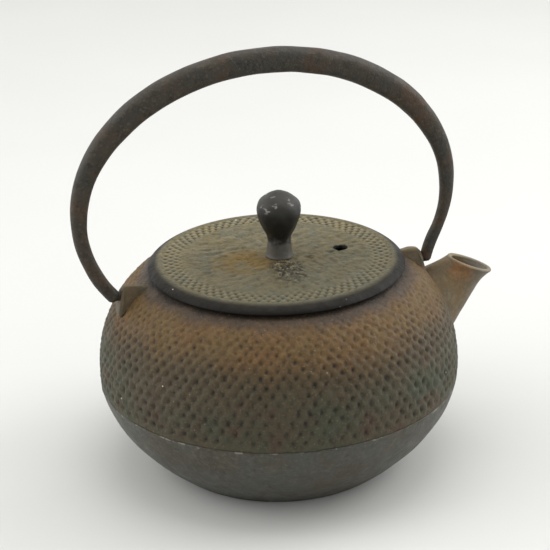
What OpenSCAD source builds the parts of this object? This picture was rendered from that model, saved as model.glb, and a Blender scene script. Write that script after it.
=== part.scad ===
// Cast iron teapot with a hobnailed shell, a short spout, a swinging bail handle,
// a lift-off lid with a bud knob, and a lift-out infuser basket.
// The origin is the centre of the flat base, +Z is up and the spout points along +X.

/* [Pot body] */
// Largest diameter, over the hobnails at the belly
pot_d = 150; // [146:1:156]
// Height of the belly, where the pot is widest
belly_z = 42; // [40:1:44]
// Diameter of the flat base
base_d = 96; // [90:1:104]
// Height of the rim that the lid rests on
rim_z = 84.4; // [84:0.2:85]
// How far the shoulder draws in from the belly towards the mouth
shoulder_w = 33.8; // [32:0.2:35]
// Rise of the shoulder's elliptical curve above the belly
shoulder_h = 43.5; // [43.2:0.1:44.5]
// Thickness of the cast wall
wall = 3.6; // [3:0.1:4]
// Thickness of the cast floor
floor_t = 4.5; // [4:0.1:6]
// Height of the mould line between the hobnailed shell and the smooth lower wall
seam_z = 37; // [34:0.5:39]

/* [Mouth] */
// Inside diameter of the mouth
mouth_d = 87; // [86.6:0.1:88]
// Diameter of the recess that the basket's rim sits in
recess_d = 93.2; // [93:0.1:94]
// Depth of that recess below the rim
recess_depth = 1.4; // [1.2:0.1:1.5]

/* [Spout] */
// Distance from the pot's axis to the point that the spout's axis passes through
spout_x = 68; // [67:0.5:69]
// Height of that point
spout_z = 61; // [60:0.5:62]
// Slope of the spout's axis above the horizontal, in degrees
spout_rise = 38; // [36:1:40]
// Radius of the spout's root at that point
spout_root_r = 15.2; // [14:0.2:16]
// Radius of the spout at its throat
spout_throat_r = 9.4; // [9:0.1:10]
// Distance from the root to the throat, along the spout's axis
spout_throat_at = 20; // [18:1:22]
// Thickness of the spout's wall
spout_wall = 2.3; // [2:0.1:3]
// Distance from the pot's axis to the centre of the mouth of the spout
lip_x = 85.1; // [84:0.1:86]
// Height of the centre of the mouth of the spout
lip_z = 74.4; // [74:0.1:75]
// How far the mouth of the spout leans down outwards, in degrees
lip_tilt = 22.5; // [20:0.5:25]
// Width of the spout at its root, seen from above
spout_root_w = 29; // [28:0.5:30]
// Width of the spout at its throat, seen from above
spout_throat_w = 16.8; // [16:0.2:18]
// Width of the spout at its mouth, seen from above
spout_mouth_w = 15.2; // [14.6:0.2:16]

/* [Lugs] */
// Distance from the pot's axis to the outer end of the lug beside the spout
front_lug_end = 62.8; // [62:0.1:63]
// Distance from the pot's axis to the outer end of the rear lug
rear_lug_end = 68.4; // [67:0.1:68.6]
// Height of the top of both lugs
lug_top_z = 84; // [83.6:0.1:84.2]
// Thickness of both lugs, across the pot
lug_t = 8; // [7:0.5:9]

/* [Bail handle] */
// Height of the pivot
pivot_z = 79; // [78.5:0.1:79.5]
// How far the middle of the arch stands off the pot's axis, away from the spout
arch_shift = 3; // [2.6:0.1:3]
// Half the width of the arch, between the middles of its arms
arch_w = 77.3; // [77.3:0.1:78]
// Height of the widest part of the arch
arch_z = 108; // [107:0.5:110]
// Rise of the arch above its widest part
arch_h = 63; // [62:0.5:66]
// Height of the bar's section at the crown of the arch
bar_crown = 9.9; // [9:0.1:10.5]
// Diameter of the bar's feet
bar_foot = 4.8; // [4.6:0.1:4.8]
// Diameter of the pins that turn in the lugs
pin_d = 4; // [3.6:0.1:4.2]
// Length of a pin inside its lug
pin_depth = 5; // [4:0.5:5]
// Radial clearance of a pin in its lug
pin_clearance = 0.08; // [0.02:0.01:0.1]

/* [Lid] */
// Outer diameter of the lid
lid_d = 105.4; // [104:0.2:106]
// Diameter of the flat top, inside the rounded edge
lid_flat_d = 96; // [92:1:98]
// Thickness of the lid
lid_t = 3.6; // [3:0.1:4]
// Outer diameter of the skirt that locates the lid in the basket
skirt_d = 81.6; // [80:0.2:81.8]
// Thickness of the skirt
skirt_t = 2; // [1.6:0.1:2.4]
// Depth of the skirt below the lid
skirt_depth = 4.6; // [3:0.1:5]
// Diameter of the steam vent
vent_d = 6; // [5:0.5:7]
// Distance from the lid's centre to the vent
vent_at = 27.5; // [24:0.5:32]

/* [Knob] */
// How far the knob stands off the lid's centre, towards the spout
knob_shift = 1.6; // [0:0.1:2]
// Height of the knob above the lid
knob_h = 28.4; // [27:0.2:30]
// Largest diameter of the bud
bud_d = 18.2; // [17:0.1:19]
// Height of the bud's widest part above the lid
bud_at = 20.4; // [19:0.1:21]
// Diameter of the neck below the bud
neck_d = 10.2; // [9:0.1:11]
// Height of the neck above the lid
neck_at = 7.5; // [6:0.1:8]
// Diameter of the stem's foot
stem_d = 11.6; // [11:0.1:13]
// Diameter of the rivet that holds the knob
rivet_d = 4; // [3:0.1:5]
// Diameter of the washer under the lid
washer_d = 12; // [10:0.5:14]
// Thickness of the washer
washer_t = 0.8; // [0.6:0.1:1]

/* [Infuser basket] */
// Diameter of the mesh sleeve
basket_d = 84; // [83.8:0.1:84.4]
// Thickness of the sheet and the mesh
sheet = 0.6; // [0.5:0.1:0.6]
// Height of the basket's floor above the table
basket_floor_z = 25; // [22:1:40]
// Outer diameter of the basket's rim
basket_rim_d = 92.4; // [91:0.1:92.6]

/* [Hidden] */

$fn = 128;
eps = 0.01;
profile_steps = 12;

pot_r = pot_d / 2;
base_r = base_d / 2;
mouth_r = mouth_d / 2;
recess_r = recess_d / 2;
ledge_z = rim_z - recess_depth;
core_r = pot_r - shoulder_w;

lid_top_z = rim_z + lid_t;
lid_r = lid_d / 2;
lid_flat_r = lid_flat_d / 2;
lid_edge_z = rim_z + 0.5;
skirt_r = skirt_d / 2;

rivet_r = rivet_d / 2;
rivet_in_knob = 9;
rivet_head_r = 1.7 * rivet_r;
rivet_head_h = 1.6;
pin_r = pin_d / 2;

basket_r = basket_d / 2;
collar_depth = 4.5;
hoop_h = 4;
hoop_lip = 3.5;

cast_black = "#3a3733";
cast_brown = "#5c4c3a";
cast_grey = "#5f5b50";
steel = "#b9bcbe";

// ---- Pot body ----

// Radius of the smooth lower wall at height z: a parabola from the base to the belly.
function lower_r(z) = pot_r - (pot_r - base_r) * pow((belly_z - z) / belly_z, 2);

// Points of the shoulder, from the belly up to height top, drawn in by inset all round.
function shoulder(inset, top) =
    let (a = shoulder_w - inset, b = shoulder_h - inset, last = asin((top - belly_z) / b))
    [for (i = [0 : profile_steps])
        let (t = last * i / profile_steps) [core_r + a * cos(t), belly_z + b * sin(t)]];

// Points of the lower wall, from height from up to height to, drawn in by inset.
function lower_wall(inset, from, to) =
    [for (i = [0 : profile_steps])
        let (z = from + (to - from) * i / profile_steps) [lower_r(z) - inset, z]];

function reversed(list) = [for (i = [len(list) - 1 : -1 : 0]) list[i]];

// Height at which the inner shoulder curve reaches the mouth.
mouth_z = belly_z + (shoulder_h - wall) * sqrt(1 - pow((mouth_r - core_r) / (shoulder_w - wall), 2));

// The pot's outside shape as one closed solid.
module pot_outside() {
    rotate_extrude()
        polygon(concat([[0, 0]], lower_wall(0, 0, seam_z), [[pot_r, seam_z]],
                       shoulder(0, rim_z), [[0, rim_z]]));
}

// The casting is divided at its mould line: a smooth bowl below and a hobnailed shell above.
module lower_bowl() {
    color(cast_grey) rotate_extrude()
        polygon(concat([[0, 0]], lower_wall(0, 0, seam_z),
                       reversed(lower_wall(wall, floor_t, seam_z)), [[0, floor_t]]));
}

module upper_shell() {
    color(cast_brown) difference() {
        rotate_extrude()
            polygon(concat([[pot_r, seam_z]], shoulder(0, rim_z),
                           [[recess_r, rim_z], [recess_r, ledge_z], [mouth_r, ledge_z]],
                           reversed(shoulder(wall, mouth_z)),
                           reversed(lower_wall(wall, seam_z, belly_z))));
        spout_channel();
        pin_hole(front_lug_end);
        mirror([1, 0, 0]) pin_hole(rear_lug_end);
    }
}

// ---- Spout ----

spout_from = -8;
spout_to = 40;
spout_flare = 0.005;

// Radius of the spout at distance t along its axis: it narrows to the throat and flares again.
function spout_r(t) =
    let (to_throat = t - spout_throat_at)
    t < spout_throat_at
        ? spout_throat_r + (spout_root_r - spout_throat_r) * pow(to_throat / spout_throat_at, 2)
        : spout_throat_r + spout_flare * pow(to_throat, 2);

module along_spout() {
    translate([spout_x, 0, spout_z]) rotate([0, 90 - spout_rise, 0]) children();
}

// A solid of revolution round the spout's axis, drawn in by inset.
module spout_round(inset) {
    along_spout() rotate_extrude()
        polygon(concat([[0, spout_from]],
                       [for (i = [0 : profile_steps])
                            let (t = spout_from + (spout_to - spout_from) * i / profile_steps)
                            [spout_r(t) - inset, t]],
                       [[0, spout_to]]));
}

// The spout is narrower than it is tall: its width in plan closes in towards the lip.
module spout_plan(inset) {
    throat_x = spout_x + 11;
    mouth_x = spout_x + 22;
    half = [[spout_x - 28, spout_root_w / 2 - inset], [spout_x, spout_root_w / 2 - inset],
            [throat_x, spout_throat_w / 2 - inset], [mouth_x, spout_mouth_w / 2 - inset],
            [spout_x + spout_to, spout_mouth_w / 2 - inset]];
    linear_extrude(height = 2 * spout_z)
        polygon(concat(half, [for (p = reversed(half)) [p[0], -p[1]]]));
}

module spout_channel() {
    intersection() {
        spout_round(spout_wall);
        spout_plan(spout_wall);
    }
}

module spout() {
    cut_size = 60;
    color(cast_brown) difference() {
        intersection() {
            spout_round(0);
            spout_plan(0);
        }
        spout_channel();
        pot_outside();
        translate([lip_x, 0, lip_z]) rotate([0, lip_tilt, 0])
            translate([-cut_size, -cut_size, 0]) cube(2 * cut_size);
    }
}

// ---- Lugs ----

// A lug is a wedge that stands on the shoulder, with a blind hole for a pin in its outer end.
module lug(end) {
    corner = 3;
    length = 12;
    height = 14;
    toe = 1.5;
    top_fall = 0.6;
    difference() {
        rotate([90, 0, 0]) linear_extrude(height = lug_t, center = true)
            polygon(concat([[end - length, lug_top_z - height], [end + toe, lug_top_z - height],
                            [end, pivot_z - pin_d]],
                           [for (t = [0 : 15 : 90])
                                [end - corner + corner * cos(t), lug_top_z - corner + corner * sin(t)]],
                           [[end - length, lug_top_z - top_fall]]));
        pot_outside();
        pin_hole(end);
    }
}

// The blind hole that a pin turns in, open past the outer end of its lug.
module pin_hole(end) {
    end_gap = 0.5;
    translate([end - pin_depth - end_gap, 0, pivot_z]) rotate([0, 90, 0])
        cylinder(r = pin_r + pin_clearance, h = 2 * pin_depth);
}

module front_lug() {
    color(cast_brown) lug(front_lug_end);
}

module rear_lug() {
    color(cast_brown) mirror([1, 0, 0]) lug(rear_lug_end);
}

// ---- Bail handle ----

bar_rings = 48;
bar_sides = 12;

// Angle on the arch's ellipse at which an arm comes down to the pivot.
foot_angle = asin((pivot_z - arch_z) / arch_h);
foot_x = arch_w * cos(foot_angle);

function arch_point(a) = [arch_w * cos(a) - arch_shift, 0, arch_z + arch_h * sin(a)];

// Unit normal of the arch at angle a, pointing outwards.
function arch_normal(a) =
    let (n = [cos(a) / arch_w, 0, sin(a) / arch_h]) n / norm(n);

// Angles on the arch where the bar begins to thicken and where it is at its thickest.
swell_from = -14;
swell_to = 54;

// Share of the way from a foot to the crown's full thickness, smoothed at both ends.
function swell(a) =
    let (from_side = 90 - abs(90 - a), way = (from_side - swell_from) / (swell_to - swell_from),
         t = min(1, max(0, way)))
    t * t * (3 - 2 * t);

crown_w = 0.9 * bar_crown;

// Height and width of the bar's section at angle a.
function bar_h(a) = bar_foot + (bar_crown - bar_foot) * swell(a);
function bar_w(a) = bar_foot + (crown_w - bar_foot) * swell(a);

function bar_ring(a) =
    [for (k = [0 : bar_sides - 1])
        let (u = 360 * k / bar_sides)
        arch_point(a) + arch_normal(a) * bar_h(a) / 2 * cos(u) + [0, 1, 0] * bar_w(a) / 2 * sin(u)];

// A ring shrunk towards its middle and moved on past the end of the bar, to round off a foot.
function toe_ring(a, share, way) =
    let (c = arch_point(a), t = [-arch_w * sin(a), 0, arch_h * cos(a)])
    [for (p = bar_ring(a))
        c + (p - c) * sqrt(1 - share * share) + way * t / norm(t) * share * bar_foot / 2];

module bail_handle() {
    last_angle = 180 - foot_angle;
    toe = [0.95, 0.75, 0.4];
    angles = [for (i = [0 : bar_rings]) foot_angle + (180 - 2 * foot_angle) * i / bar_rings];
    rings = concat([for (share = toe) toe_ring(foot_angle, share, -1)],
                   [for (a = angles) bar_ring(a)],
                   [for (share = reversed(toe)) toe_ring(last_angle, share, 1)]);
    last = len(rings) - 1;
    sides = [for (i = [0 : last - 1]) for (k = [0 : bar_sides - 1])
        let (m = (k + 1) % bar_sides)
        [i * bar_sides + k, i * bar_sides + m, (i + 1) * bar_sides + m, (i + 1) * bar_sides + k]];
    caps = [[for (k = [bar_sides - 1 : -1 : 0]) k],
            [for (k = [0 : bar_sides - 1]) last * bar_sides + k]];
    color(cast_black)
        polyhedron(points = [for (ring = rings) each ring], faces = concat(sides, caps));
}

// A pivot pin runs from the middle of a foot into the blind hole in its lug.
module pivot_pin(lug_end, x) {
    translate([lug_end - pin_depth, 0, pivot_z]) rotate([0, 90, 0])
        cylinder(r = pin_r, h = x - lug_end + pin_depth);
}

module front_pin() {
    color(cast_black) pivot_pin(front_lug_end, foot_x - arch_shift);
}

module rear_pin() {
    color(cast_black) mirror([1, 0, 0]) pivot_pin(rear_lug_end, foot_x + arch_shift);
}

// ---- Lid and knob ----

// The lid's outline: a flat top, a bevel that steepens to the outer edge, and a skirt below.
module lid() {
    bevel = 1.4;
    underside_inset = 0.6;
    edge = [for (t = [90 : -15 : 0])
        [lid_flat_r + (lid_r - lid_flat_r) * pow(cos(t), bevel),
         lid_edge_z + (lid_top_z - lid_edge_z) * pow(sin(t), bevel)]];
    color(cast_grey) difference() {
        rotate_extrude()
            polygon(concat([[0, lid_top_z]], edge,
                           [[lid_r - underside_inset, rim_z], [skirt_r, rim_z],
                            [skirt_r, rim_z - skirt_depth],
                            [skirt_r - skirt_t, rim_z - skirt_depth], [skirt_r - skirt_t, rim_z],
                            [0, rim_z]]));
        lid_hole(knob_shift, rivet_r);
        lid_hole(vent_at, vent_d / 2);
    }
}

module lid_hole(x, r) {
    translate([x, 0, rim_z - 1]) cylinder(r = r, h = lid_t + 2);
}

module at_knob(z) {
    translate([knob_shift, 0, z]) children();
}

module knob() {
    bud_r = bud_d / 2;
    neck_r = neck_d / 2;
    flare = [for (i = [0 : 8]) let (t = i / 8)
        [neck_r + (bud_r - neck_r) * sin(90 * t), neck_at + (bud_at - neck_at) * t]];
    dome = [for (t = [15 : 15 : 90]) [bud_r * cos(t), bud_at + (knob_h - bud_at) * sin(t)]];
    color(cast_black) at_knob(lid_top_z) difference() {
        rotate_extrude() polygon(concat([[0, 0], [stem_d / 2, 0]], flare, dome));
        translate([0, 0, -eps]) cylinder(r = rivet_r, h = rivet_in_knob + eps);
    }
}

// The rivet runs from inside the knob's stem down to a head under the washer.
module knob_rivet() {
    head_top = rim_z - washer_t;
    color(steel) at_knob(0) {
        translate([0, 0, head_top]) cylinder(r = rivet_r, h = lid_top_z + rivet_in_knob - head_top);
        translate([0, 0, head_top - rivet_head_h])
            cylinder(r1 = 0.6 * rivet_head_r, r2 = rivet_head_r, h = rivet_head_h);
    }
}

module knob_washer() {
    color(steel) at_knob(rim_z - washer_t) difference() {
        cylinder(d = washer_d, h = washer_t);
        translate([0, 0, -1]) cylinder(r = rivet_r, h = washer_t + 2);
    }
}

// ---- Infuser basket ----

module basket_rim() {
    color(steel) rotate_extrude()
        polygon([[basket_r, ledge_z - collar_depth], [basket_r + sheet, ledge_z - collar_depth],
                 [basket_r + sheet, ledge_z], [basket_rim_d / 2, ledge_z],
                 [basket_rim_d / 2, ledge_z + sheet], [basket_r, ledge_z + sheet]]);
}

module basket_mesh() {
    color(steel) rotate_extrude()
        translate([basket_r - sheet, basket_floor_z])
            square([sheet, ledge_z + sheet - basket_floor_z]);
}

// The hoop is crimped over the foot of the sleeve and under the floor.
module basket_hoop() {
    outer = basket_r + sheet;
    lip_z = basket_floor_z - sheet;
    color(steel) rotate_extrude()
        polygon([[outer - hoop_lip, lip_z], [outer, lip_z], [outer, lip_z + hoop_h],
                 [basket_r, lip_z + hoop_h], [basket_r, basket_floor_z],
                 [outer - hoop_lip, basket_floor_z]]);
}

module basket_floor() {
    color(steel) translate([0, 0, basket_floor_z]) cylinder(r = basket_r - sheet, h = sheet);
}

lower_bowl();
upper_shell();
spout();
front_lug();
rear_lug();
bail_handle();
front_pin();
rear_pin();
lid();
knob();
knob_rivet();
knob_washer();
basket_rim();
basket_mesh();
basket_hoop();
basket_floor();
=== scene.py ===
"""The looks of a rusty cast iron teapot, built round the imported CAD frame. Everything is in metres."""
import math

import bmesh
import bpy
import numpy as np
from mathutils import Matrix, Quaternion, Vector


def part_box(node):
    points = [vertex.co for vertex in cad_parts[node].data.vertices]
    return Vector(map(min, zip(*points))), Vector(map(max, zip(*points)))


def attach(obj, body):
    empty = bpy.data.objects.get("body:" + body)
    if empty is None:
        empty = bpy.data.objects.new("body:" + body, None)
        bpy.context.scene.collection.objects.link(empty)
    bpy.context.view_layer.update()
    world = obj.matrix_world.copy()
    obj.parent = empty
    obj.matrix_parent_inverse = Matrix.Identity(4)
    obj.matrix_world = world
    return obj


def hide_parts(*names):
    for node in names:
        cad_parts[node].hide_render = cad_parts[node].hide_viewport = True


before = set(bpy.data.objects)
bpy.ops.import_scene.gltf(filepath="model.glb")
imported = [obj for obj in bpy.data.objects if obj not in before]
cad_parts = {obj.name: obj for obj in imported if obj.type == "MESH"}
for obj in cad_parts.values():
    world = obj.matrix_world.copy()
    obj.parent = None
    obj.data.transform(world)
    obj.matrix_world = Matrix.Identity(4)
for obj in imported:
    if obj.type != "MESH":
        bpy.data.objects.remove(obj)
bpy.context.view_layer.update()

MM = 0.001

# ---- Sizes taken from the frame ----

SHELL_LO, SHELL_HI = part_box("upper_shell")
LID_LO, LID_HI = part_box("lid")
KNOB_LO, KNOB_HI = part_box("knob")
FRONT_LUG_LO, FRONT_LUG_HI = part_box("front_lug")
REAR_LUG_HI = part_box("rear_lug")[1]
FRONT_PIN_LO, FRONT_PIN_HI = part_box("front_pin")
REAR_PIN_LO, REAR_PIN_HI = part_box("rear_pin")
RIVET_LO, RIVET_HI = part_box("knob_rivet")
WASHER_LO, WASHER_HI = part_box("knob_washer")
BASKET_RIM_LO, BASKET_RIM_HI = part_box("basket_rim")
BASKET_MESH_LO, BASKET_MESH_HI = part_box("basket_mesh")
BASKET_HOOP_LO, BASKET_HOOP_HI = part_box("basket_hoop")
BASKET_FLOOR_LO, BASKET_FLOOR_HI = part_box("basket_floor")

SEAM_Z = SHELL_LO.z
RIM_Z = SHELL_HI.z
POT_R = SHELL_HI.y
PIVOT_Z = (FRONT_PIN_LO.z + FRONT_PIN_HI.z) / 2
LID_R = LID_HI.y
LID_TOP = LID_HI.z
KNOB_X = (KNOB_LO.x + KNOB_HI.x) / 2

# ---- Sizes of the casting's curves ----

BELLY_Z = 42 * MM
BASE_R = 48 * MM
SHOULDER_W = 33.8 * MM
SHOULDER_H = 43.5 * MM
CORE_R = POT_R - SHOULDER_W
WALL = 3.6 * MM
FLOOR_T = 4.5 * MM
MOUTH_R = 43.5 * MM
RECESS_R = 46.6 * MM
LEDGE_Z = RIM_Z - 1.4 * MM


# ---- Numbers and noise ----

def smooth(value, low, high):
    """0 below low, 1 above high, and a smooth step between; low may be above high."""
    t = np.clip((value - low) / (high - low), 0, 1)
    return t * t * (3 - 2 * t)


def unit(vectors):
    """The vectors, each divided by its length."""
    return vectors / np.linalg.norm(vectors, axis=-1)[..., None]


def around(count):
    """Angles of count even steps round a circle."""
    return np.arange(count) * 2 * math.pi / count


def ripple(points, size, seed, waves=24):
    """Smooth noise of about unit height on points, with waves about size long."""
    rng = np.random.default_rng(seed)
    way = unit(rng.normal(size=(waves, 3)))
    way *= 2 * math.pi / size * rng.uniform(0.7, 1.5, (waves, 1))
    phase = rng.uniform(0, 2 * math.pi, waves)
    total = np.zeros(points.shape[:-1])
    for direction, shift in zip(way, phase):
        total += np.sin(points @ direction + shift)
    return total * math.sqrt(2 / waves)


def staggered(u, v, spread):
    """Relief from 0 in the pits to 1 between them.

    u counts pits along a row and v counts rows; a larger spread makes the pits wider.
    """
    return ((1 + np.cos(2 * math.pi * u) * np.cos(math.pi * v)) / 2) ** spread


def rounded(outline, size):
    """The outline with each inner corner cut back by size, so that it shades as a small round."""
    points = [np.array(p, float) for p in outline]
    out = [points[0]]
    for before, here, after in zip(points, points[1:], points[2:]):
        for other in (before, after):
            way = other - here
            reach = min(size, 0.45 * np.linalg.norm(way))
            out.append(here + way / np.linalg.norm(way) * reach)
    out.append(points[-1])
    return np.array(out)


# ---- Meshes ----

def mesh_object(name, points, faces):
    """A smooth shaded mesh in the scene."""
    mesh = bpy.data.meshes.new(name)
    mesh.from_pydata(points.reshape(-1, 3), [], faces)
    mesh.update()
    piece = bpy.data.objects.new(name, mesh)
    bpy.context.scene.collection.objects.link(piece)
    mesh.polygons.foreach_set("use_smooth", [True] * len(mesh.polygons))
    return piece


def skin(name, rings, loop=False):
    """A closed surface over rings of points.

    loop joins the last ring to the first; without it both are capped.
    """
    count, sides = rings.shape[:2]
    index = np.arange(count * sides).reshape(count, sides)
    below = index if loop else index[:-1]
    above = np.roll(index, -1, 0) if loop else index[1:]
    quads = np.stack([below, np.roll(below, -1, 1), np.roll(above, -1, 1), above], -1)
    quads = quads.reshape(-1, 4)
    points = rings.reshape(-1, 3)
    corners = points[quads]
    area = np.cross(corners[:, 2] - corners[:, 0], corners[:, 3] - corners[:, 1])
    inside_out = np.sum(area * (corners.mean(1) - points.mean(0))) < 0
    faces = quads.tolist()
    if not loop:
        faces += [index[0][::-1].tolist(), index[-1].tolist()]
    if inside_out:
        faces = [face[::-1] for face in faces]
    return mesh_object(name, rings, faces)


def turned(outline, columns, centre=(0, 0)):
    """Rings of a solid of revolution from an outline of (radius, height) points."""
    turn = around(columns)
    r, z = np.array(outline).T
    x = centre[0] + r[:, None] * np.cos(turn)
    y = centre[1] + r[:, None] * np.sin(turn)
    return np.stack([x, y, np.repeat(z[:, None], columns, 1)], -1)


def outward(outline):
    """Unit normals of an outline of (radius, height) points, on the right of its direction."""
    way = unit(np.gradient(np.array(outline), axis=0))
    return np.stack([way[:, 1], -way[:, 0]], -1)


def moved_out(rings, outline, distance):
    """Rings moved along the outline's normals by distance, an array of a row for each ring."""
    normal = outward(outline)
    turn = np.arctan2(rings[..., 1], rings[..., 0])
    step = np.stack([normal[:, :1] * np.cos(turn), normal[:, :1] * np.sin(turn),
                     np.repeat(normal[:, 1:], rings.shape[1], 1)], -1)
    return rings + step * distance[..., None]


def relief_of(piece, values):
    """Keeps the relief on the mesh, for its material to paint shade into the pits; on the spout it marks
    painted shade inside and a painted highlight on the lip.
    """
    layer = piece.data.attributes.new("relief", "FLOAT", "POINT")
    layer.data.foreach_set("value", np.ascontiguousarray(values, np.float32).ravel())


def cut(piece, *cutters):
    """Takes the cutters' space out of the piece and deletes them."""
    for cutter in cutters:
        modifier = piece.modifiers.new("cut", "BOOLEAN")
        modifier.operation = "DIFFERENCE"
        modifier.solver = "MANIFOLD"
        modifier.object = cutter
    bpy.context.view_layer.update()
    graph = bpy.context.evaluated_depsgraph_get()
    mesh = bpy.data.meshes.new_from_object(piece.evaluated_get(graph))
    piece.modifiers.clear()
    piece.data = mesh
    for cutter in cutters:
        bpy.data.objects.remove(cutter)


def drill(x, y, low, high, radius):
    """An upright cylinder to cut a round hole with."""
    return skin("drill", turned([(radius, low), (radius, high)], 48, (x, y)))


def finished(piece, body, slot, material, *nodes):
    """Gives a piece its material and ties it to the frame in place of its CAD nodes."""
    piece.data.materials.clear()
    piece.data.materials.append(material)
    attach(piece, body)
    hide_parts(*nodes)


# ---- Materials ----

def colour(code):
    """A hex colour as a linear one."""
    parts = [int(code[i:i + 2], 16) / 255 for i in (1, 3, 5)]
    return [p / 12.92 if p <= 0.04045 else ((p + 0.055) / 1.055) ** 2.4 for p in parts] + [1]


class Paint:
    """A material under construction, with a short call for each kind of node that it uses.

    shine is the specular level. x, y, z and radius are the place on the object, in metres.
    """

    def __init__(self, name, shine=0.28):
        self.shine = shine
        self.material = bpy.data.materials.new(name)
        self.material.use_nodes = True
        self.tree = self.material.node_tree
        self.bsdf = self.tree.nodes["Principled BSDF"]
        self.place = self.tree.nodes.new("ShaderNodeTexCoord").outputs["Object"]
        split = self.add("ShaderNodeSeparateXYZ", {"Vector": self.place})
        self.x, self.y, self.z = split.outputs[:3]
        flat = self.add("ShaderNodeCombineXYZ", {"X": self.x, "Y": self.y})
        length = self.add("ShaderNodeVectorMath", {0: flat.outputs[0]}, operation="LENGTH")
        self.radius = length.outputs["Value"]

    def add(self, kind, inputs, **settings):
        """A new node; each input is a socket to link from or a plain value."""
        node = self.tree.nodes.new(kind)
        for name, value in settings.items():
            setattr(node, name, value)
        for key, value in inputs.items():
            if isinstance(value, bpy.types.NodeSocket):
                self.tree.links.new(value, node.inputs[key])
            else:
                node.inputs[key].default_value = value
        return node

    def noise(self, size, detail=3, roughness=0.55, stretch=(1, 1, 1), shift=0):
        """Noise from 0 to 1 with features about size across, stretched by stretch."""
        mapping = self.add("ShaderNodeMapping", {"Vector": self.place, "Location": (shift, shift, shift),
                                                 "Scale": [1 / (size * s) for s in stretch]})
        noise = self.add("ShaderNodeTexNoise", {"Vector": mapping.outputs[0], "Scale": 1,
                                                "Detail": detail, "Roughness": roughness})
        return noise.outputs["Fac"]

    def cells(self, size, shift=0):
        """Distance to the nearest of points scattered about size apart, counted in sizes."""
        mapping = self.add("ShaderNodeMapping", {"Vector": self.place, "Location": (shift, shift, shift),
                                                 "Scale": [1 / size] * 3})
        cell = self.add("ShaderNodeTexVoronoi", {"Vector": mapping.outputs[0], "Scale": 1})
        return cell.outputs["Distance"]

    def span(self, value, low, high, start=0.0, end=1.0):
        """Maps low..high smoothly to start..end."""
        inputs = {"Value": value, "From Min": low, "From Max": high, "To Min": start, "To Max": end}
        return self.add("ShaderNodeMapRange", inputs, interpolation_type="SMOOTHSTEP").outputs["Result"]

    def sum(self, a, b):
        return self.add("ShaderNodeMath", {0: a, 1: b}, operation="ADD").outputs[0]

    def times(self, a, b):
        return self.add("ShaderNodeMath", {0: a, 1: b}, operation="MULTIPLY").outputs[0]

    def spot(self, centre, low, high):
        """1 within low of a point and 0 beyond high."""
        away = self.add("ShaderNodeVectorMath", {0: self.place, 1: centre}, operation="DISTANCE")
        return self.span(away.outputs["Value"], low, high, 1.0, 0.0)

    def mix(self, factor, first, second):
        """The first colour where factor is 0 and the second where it is 1."""
        first = colour(first) if isinstance(first, str) else first
        second = colour(second) if isinstance(second, str) else second
        return self.add("ShaderNodeMix", {0: factor, 6: first, 7: second}, data_type="RGBA").outputs[2]

    def relief(self):
        """The relief that relief_of kept on the mesh."""
        return self.add("ShaderNodeAttribute", {}, attribute_name="relief").outputs["Fac"]

    def dust(self, base):
        """Scattered pale specks and faint smears of dust over a colour."""
        speck = self.span(self.cells(9 * MM, 3.7), 0.02, 0.045, 0.8, 0.0)
        some = self.span(self.noise(13 * MM, 1, shift=5.1), 0.56, 0.6)
        grain = self.span(self.cells(3.1 * MM, 8.2), 0.05, 0.09, 0.35, 0.0)
        few = self.span(self.noise(10 * MM, 1, shift=2.4), 0.5, 0.56)
        base = self.mix(self.times(grain, few), base, "#a09a8c")
        return self.mix(self.times(speck, some), base, "#d8d3c6")

    def finish(self, base, rough, bumps=()):
        """Sets the colour, the roughness and bumps given as (height, depth in metres) pairs."""
        self.tree.links.new(base, self.bsdf.inputs["Base Color"])
        self.tree.links.new(rough, self.bsdf.inputs["Roughness"])
        self.bsdf.inputs["Specular IOR Level"].default_value = self.shine
        normal = None
        for height, depth in bumps:
            inputs = {"Height": height, "Distance": depth, "Strength": 1.0}
            if normal is not None:
                inputs["Normal"] = normal
            normal = self.add("ShaderNodeBump", inputs).outputs[0]
        if normal is not None:
            self.tree.links.new(normal, self.bsdf.inputs["Normal"])
        return self.material


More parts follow.
